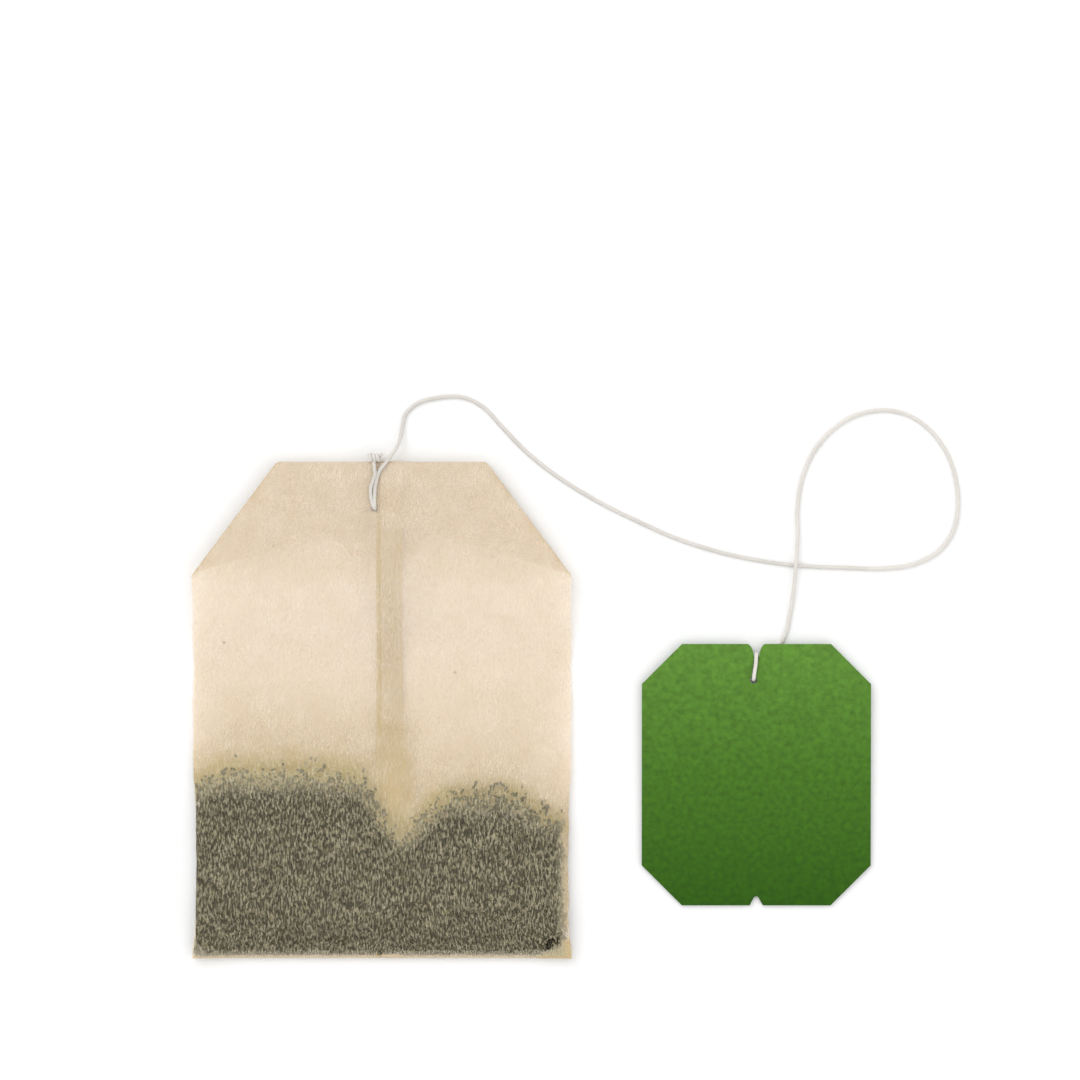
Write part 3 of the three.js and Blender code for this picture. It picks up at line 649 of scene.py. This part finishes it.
FLAKE = np.array([
    (-0.5, -0.34, 0.1), (-0.5, 0.3, 0), (-0.5, -0.3, -0.08), (-0.5, 0.26, -0.16),
    (0.05, -0.5, -0.06), (0.0, 0.5, -0.12), (0.05, -0.44, -0.26), (0.0, 0.42, -0.3),
    (0.5, -0.24, 0.14), (0.46, 0.2, 0.02), (0.5, -0.2, -0.04), (0.46, 0.16, -0.14),
])  # a curled scrap of leaf, one unit long and wide
FLAKE_FACES = [
    (0, 4, 5, 1), (4, 8, 9, 5), (2, 3, 7, 6), (6, 7, 11, 10), (0, 2, 6, 4),
    (4, 6, 10, 8), (1, 5, 7, 3), (5, 9, 11, 7), (0, 1, 3, 2), (8, 10, 11, 9),
]


def leaf_flakes(rng, x, y, limit_at, facing):
    """Corners of one flake at each place, sized and turned, and kept just inside the paper."""
    count = len(x)
    length = 0.32 + 0.5 * rng.random(count) ** 2.6
    width = length * (0.42 + 0.45 * rng.random(count))
    thick = 0.22 + 0.2 * rng.random(count)
    turn = rng.random(count) * math.tau
    tip, roll = rng.normal(0, 0.3, count), rng.normal(0, 0.4, count)
    corner = FLAKE * np.stack([length, width, thick], axis=1)[:, None]
    for first, second, angle in ((1, 2, roll), (2, 0, tip), (0, 1, turn)):
        a, b = corner[..., first].copy(), corner[..., second].copy()
        c, s = np.cos(angle)[:, None], np.sin(angle)[:, None]
        corner[..., first], corner[..., second] = a * c - b * s, a * s + b * c
    corner[..., 1] = np.maximum(corner[..., 1] + y[:, None], -30.2)
    side = half_width(corner[..., 1]) - 0.14
    corner[..., 0] = np.clip(corner[..., 0] + x[:, None], -side, side)
    limit = limit_at(corner[..., 0], corner[..., 1])
    deep = 0.06 + 0.3 * rng.random(count) ** 1.5 * ease(tea_top(x) - y, -1, 2)
    high = facing * corner[..., 2] - deep[:, None]
    corner[..., 2] = limit + facing * np.minimum(high, -0.035)
    lowest = underside(corner[..., 0], corner[..., 1]) + 0.07
    highest = front_ply(corner[..., 0], corner[..., 1]) - 0.06
    corner[..., 2] = np.clip(corner[..., 2], lowest, highest)
    return corner


def tea_charge(name, seed, wanted, high_face, low_face, facing, strays):
    """A bed of leaf between two faces, with flakes on the side that faces the paper, and strays."""
    rng = np.random.default_rng(seed)
    limit_at = high_face if facing > 0 else low_face
    bpy.ops.object.select_all(action="DESELECT")
    bpy.ops.mesh.primitive_grid_add(x_subdivisions=64, y_subdivisions=34, size=1)
    bed = bpy.context.object
    bed.name = name
    bpy.ops.object.mode_set(mode="EDIT")
    bpy.ops.mesh.select_all(action="SELECT")
    bpy.ops.mesh.extrude_region_move(TRANSFORM_OT_translate={"value": (0, 0, 1)})
    bpy.ops.object.mode_set(mode="OBJECT")
    for vertex in bed.data.vertices:
        across = vertex.co.x * 2
        down = 0.5 - vertex.co.y
        x = -0.4 + 22.3 * math.sin(math.pi / 2 * across)
        head = float(tea_top(x)) - 2.4 + 0.7 * math.sin(1.9 * x) * math.cos(0.8 * x + 1)
        y = head + (-30.05 - head) * down
        top = high_face(x, y) - 0.3 + 0.05 * math.sin(5 * x) * math.sin(4 * y)
        low = low_face(x, y) + 0.12
        edge = min(1, 8 * min(0.5 - abs(vertex.co.x), 0.5 - abs(vertex.co.y)))
        mid = (top + low) / 2
        half = max((top - low) / 2, 0.02) * (0.25 + 0.75 * edge)
        upper = vertex.co.z > 0.5
        height = max(mid + (half if upper else -half), underside(x, y) + (0.11 if upper else 0.08))
        vertex.co = (x * MM, y * MM, height * MM)
    bpy.ops.object.mode_set(mode="EDIT")
    bpy.ops.mesh.select_all(action="SELECT")
    bpy.ops.mesh.normals_make_consistent(inside=False)
    bpy.ops.object.mode_set(mode="OBJECT")

    # Flakes are strewn over the whole chamber, and kept where the tea lies: below its ragged top,
    # off the right edge, off two bare places by the base, and not past the corner's crease.
    x = rng.uniform(-22.95, 22.6, wanted * 3)
    y = rng.uniform(-30.2, -4.5, wanted * 3)
    ragged = tea_top(x) + 0.7 * ease(x, 18, 21) + 0.5 * np.sin(1.7 * x + 0.6) * np.sin(0.63 * x)
    ragged += 0.35 * np.sin(5.1 * x) + 0.3 * np.sin(9.3 * x + 2) * np.sin(2.9 * x)
    chance = (1 - ease(y, ragged - 0.7, ragged + 1.1)) ** 1.3
    chance += 0.12 * (1 - ease(y, ragged, ragged + 2.3)) * (chance < 0.5)
    short = 22.0 + 0.25 * np.sin(1.3 * y) + 0.9 * ease(-y, 23.5, 25)
    chance *= 1 - ease(x, short - 0.1, short + 0.3)
    chance *= ease(y, -30.45, -30.1)
    bare = np.exp(-(((x - 6.4) / 2.2) ** 2) - ((y + 29.3) / 1.0) ** 2)
    bare += np.exp(-(((x + 0.5) / 3) ** 2) - ((y + 30.2) / 0.6) ** 2)
    chance *= np.clip(1 - 0.85 * bare, 0, 1)
    chance *= 1 - ease(beyond_crease(x, y), 0.2, 0.5)
    chance *= 1 - 0.35 * np.exp(-(((x + 12) / 3.2) ** 2) - ((y + 19) / 3.4) ** 2)
    kept = np.flatnonzero(rng.random(len(x)) < chance)[:wanted]
    x = np.append(x[kept], [place[0] for place in strays])
    y = np.append(y[kept], [place[1] for place in strays])
    corners = leaf_flakes(rng, x, y, limit_at, facing)
    leaf = bpy.data.meshes.new(name + "_leaf")
    starts = np.arange(len(x)) * len(FLAKE)
    faces = (starts[:, None, None] + np.array(FLAKE_FACES)[None]).reshape(-1, 4)
    leaf.from_pydata((corners.reshape(-1, 3) * MM).tolist(), [], faces.tolist())
    shade = leaf.attributes.new("leaf_shade", "FLOAT", "FACE")
    tone = rng.random(len(x))
    tone[len(kept):] *= 0.3
    shade.data.foreach_set("value", np.repeat(tone, len(FLAKE_FACES)))
    bed_shade = bed.data.attributes.new("leaf_shade", "FLOAT", "FACE")
    bed_shade.data.foreach_set("value", np.full(len(bed.data.polygons), 0.1))
    flakes = bpy.data.objects.new(name + "_leaf", leaf)
    bpy.context.collection.objects.link(flakes)
    bpy.ops.object.select_all(action="DESELECT")
    flakes.select_set(True)
    bpy.context.view_layer.objects.active = flakes
    bpy.ops.object.mode_set(mode="EDIT")
    bpy.ops.mesh.select_all(action="SELECT")
    bpy.ops.mesh.normals_make_consistent(inside=False)
    bpy.ops.object.mode_set(mode="OBJECT")
    bed.select_set(True)
    bpy.context.view_layer.objects.active = bed
    bpy.ops.object.join()
    bpy.ops.object.shade_flat()
    return bed


dry_leaf = bpy.data.materials.new("dry_broken_leaf")
dry_leaf.use_nodes = True
nodes, links = dry_leaf.node_tree.nodes, dry_leaf.node_tree.links
shader = nodes["Principled BSDF"]
shader.inputs["Roughness"].default_value = 0.75
shader.inputs["Specular IOR Level"].default_value = 0.12
each = nodes.new("ShaderNodeAttribute")
each.attribute_name = "leaf_shade"
tones = nodes.new("ShaderNodeValToRGB")
tones.color_ramp.elements[0].position = 0.0
tones.color_ramp.elements[0].color = (0.009, 0.008, 0.004, 1)
tones.color_ramp.elements[1].position = 0.55
tones.color_ramp.elements[1].color = (0.034, 0.03, 0.014, 1)
for position, color in ((0.8, (0.085, 0.075, 0.036, 1)), (0.97, (0.2, 0.17, 0.09, 1))):
    tones.color_ramp.elements.new(position).color = color
links.new(each.outputs["Fac"], tones.inputs["Fac"])
place = nodes.new("ShaderNodeTexCoord")
vein = nodes.new("ShaderNodeTexNoise")
vein.inputs["Scale"].default_value = 6000
vein.inputs["Detail"].default_value = 3
links.new(place.outputs["Object"], vein.inputs["Vector"])
mottle = nodes.new("ShaderNodeMix")
mottle.data_type = "RGBA"
mottle.blend_type = "MULTIPLY"
mottle.inputs["Factor"].default_value = 0.6
links.new(tones.outputs["Color"], mottle.inputs["A"])
links.new(vein.outputs["Fac"], mottle.inputs["B"])
links.new(mottle.outputs["Result"], shader.inputs["Base Color"])
crumple = nodes.new("ShaderNodeBump")
crumple.inputs["Strength"].default_value = 0.7
crumple.inputs["Distance"].default_value = 0.00005
links.new(vein.outputs["Fac"], crumple.inputs["Height"])
links.new(crumple.outputs["Normal"], shader.inputs["Normal"])

# A few crumbs have strayed up the front, a curled stalk lies above the right side, and a close line
# of darker flakes follows a crease by the bottom right corner.
crumbs = [
    (-17.8, -5.6), (-8.6, -5.9), (-8.1, -6.1), (-7.9, -5.8), (-19.3, 8.2), (8.9, 4.5), (-13.2, 20),
]
stalk = [
    (14.25 - 1.15 * math.cos(t), -10.4 + 1.42 * math.sin(t)) for t in np.linspace(0.05, 2.5, 15)
]
crease = [
    (20.3 + 2.1 * t + 0.3 * math.sin(71 * t), -28.75 + 1.35 * t + 0.3 * math.cos(113 * t))
    for t in np.linspace(0, 1, 38)
]
tea_front = tea_charge(
    "tea_in_front_chamber", 11, 9000,
    lambda x, y: front_ply(x, y) - PAPER / 2,
    lambda x, y: middle(x, y) + inner_rest(x, y) + PAPER / 2,
    1, crumbs + stalk + crease,
)
tea_back = tea_charge(
    "tea_in_back_chamber", 12, 4200,
    lambda x, y: middle(x, y) - inner_rest(x, y) - PAPER / 2,
    lambda x, y: middle(x, y) - inner_rest(x, y) - chamber_depth(x, y) + PAPER / 2,
    -1, [],
)
for charge, node in ((tea_front, "tea_front"), (tea_back, "tea_back")):
    charge.data.materials.append(dry_leaf)
    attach(charge, "root")
    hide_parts(node)

# ---- The tag ---------------------------------------------------------------------------------
# One ply of thin card, printed green on its face, with its corners cut off and a notch at its top
# and foot. The thread goes through the slit below the top notch.

card = bpy.data.materials.new("green_printed_card")
card.use_nodes = True
nodes, links = card.node_tree.nodes, card.node_tree.links
shader = nodes["Principled BSDF"]
shader.inputs["Specular IOR Level"].default_value = 0.15
place = nodes.new("ShaderNodeTexCoord")
apart = nodes.new("ShaderNodeSeparateXYZ")
links.new(place.outputs["Object"], apart.inputs["Vector"])
down = nodes.new("ShaderNodeMapRange")
down.inputs["From Min"].default_value = -0.024
down.inputs["From Max"].default_value = 0.008
links.new(apart.outputs["Y"], down.inputs["Value"])
green = nodes.new("ShaderNodeValToRGB")
green.color_ramp.elements[0].color = (0.022, 0.088, 0.001, 1)
green.color_ramp.elements.new(0.5).color = (0.053, 0.15, 0.011, 1)
green.color_ramp.elements[2].color = (0.1, 0.232, 0.03, 1)
links.new(down.outputs["Result"], green.inputs["Fac"])
grain = nodes.new("ShaderNodeTexNoise")
grain.inputs["Scale"].default_value = 1500
grain.inputs["Detail"].default_value = 4
links.new(place.outputs["Object"], grain.inputs["Vector"])
speckle = nodes.new("ShaderNodeMix")
speckle.data_type = "RGBA"
speckle.blend_type = "OVERLAY"
speckle.inputs["Factor"].default_value = 0.5
links.new(green.outputs["Color"], speckle.inputs["A"])
links.new(grain.outputs["Fac"], speckle.inputs["B"])
links.new(speckle.outputs["Result"], shader.inputs["Base Color"])
shine = nodes.new("ShaderNodeMapRange")
shine.inputs["To Min"].default_value = 0.5
shine.inputs["To Max"].default_value = 0.75
links.new(grain.outputs["Fac"], shine.inputs["Value"])
links.new(shine.outputs["Result"], shader.inputs["Roughness"])
tooth = nodes.new("ShaderNodeBump")
tooth.inputs["Strength"].default_value = 0.5
tooth.inputs["Distance"].default_value = 0.00004
links.new(grain.outputs["Fac"], tooth.inputs["Height"])
links.new(tooth.outputs["Normal"], shader.inputs["Normal"])
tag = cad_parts["tag"]
tag.data.materials.clear()
tag.data.materials.append(card)
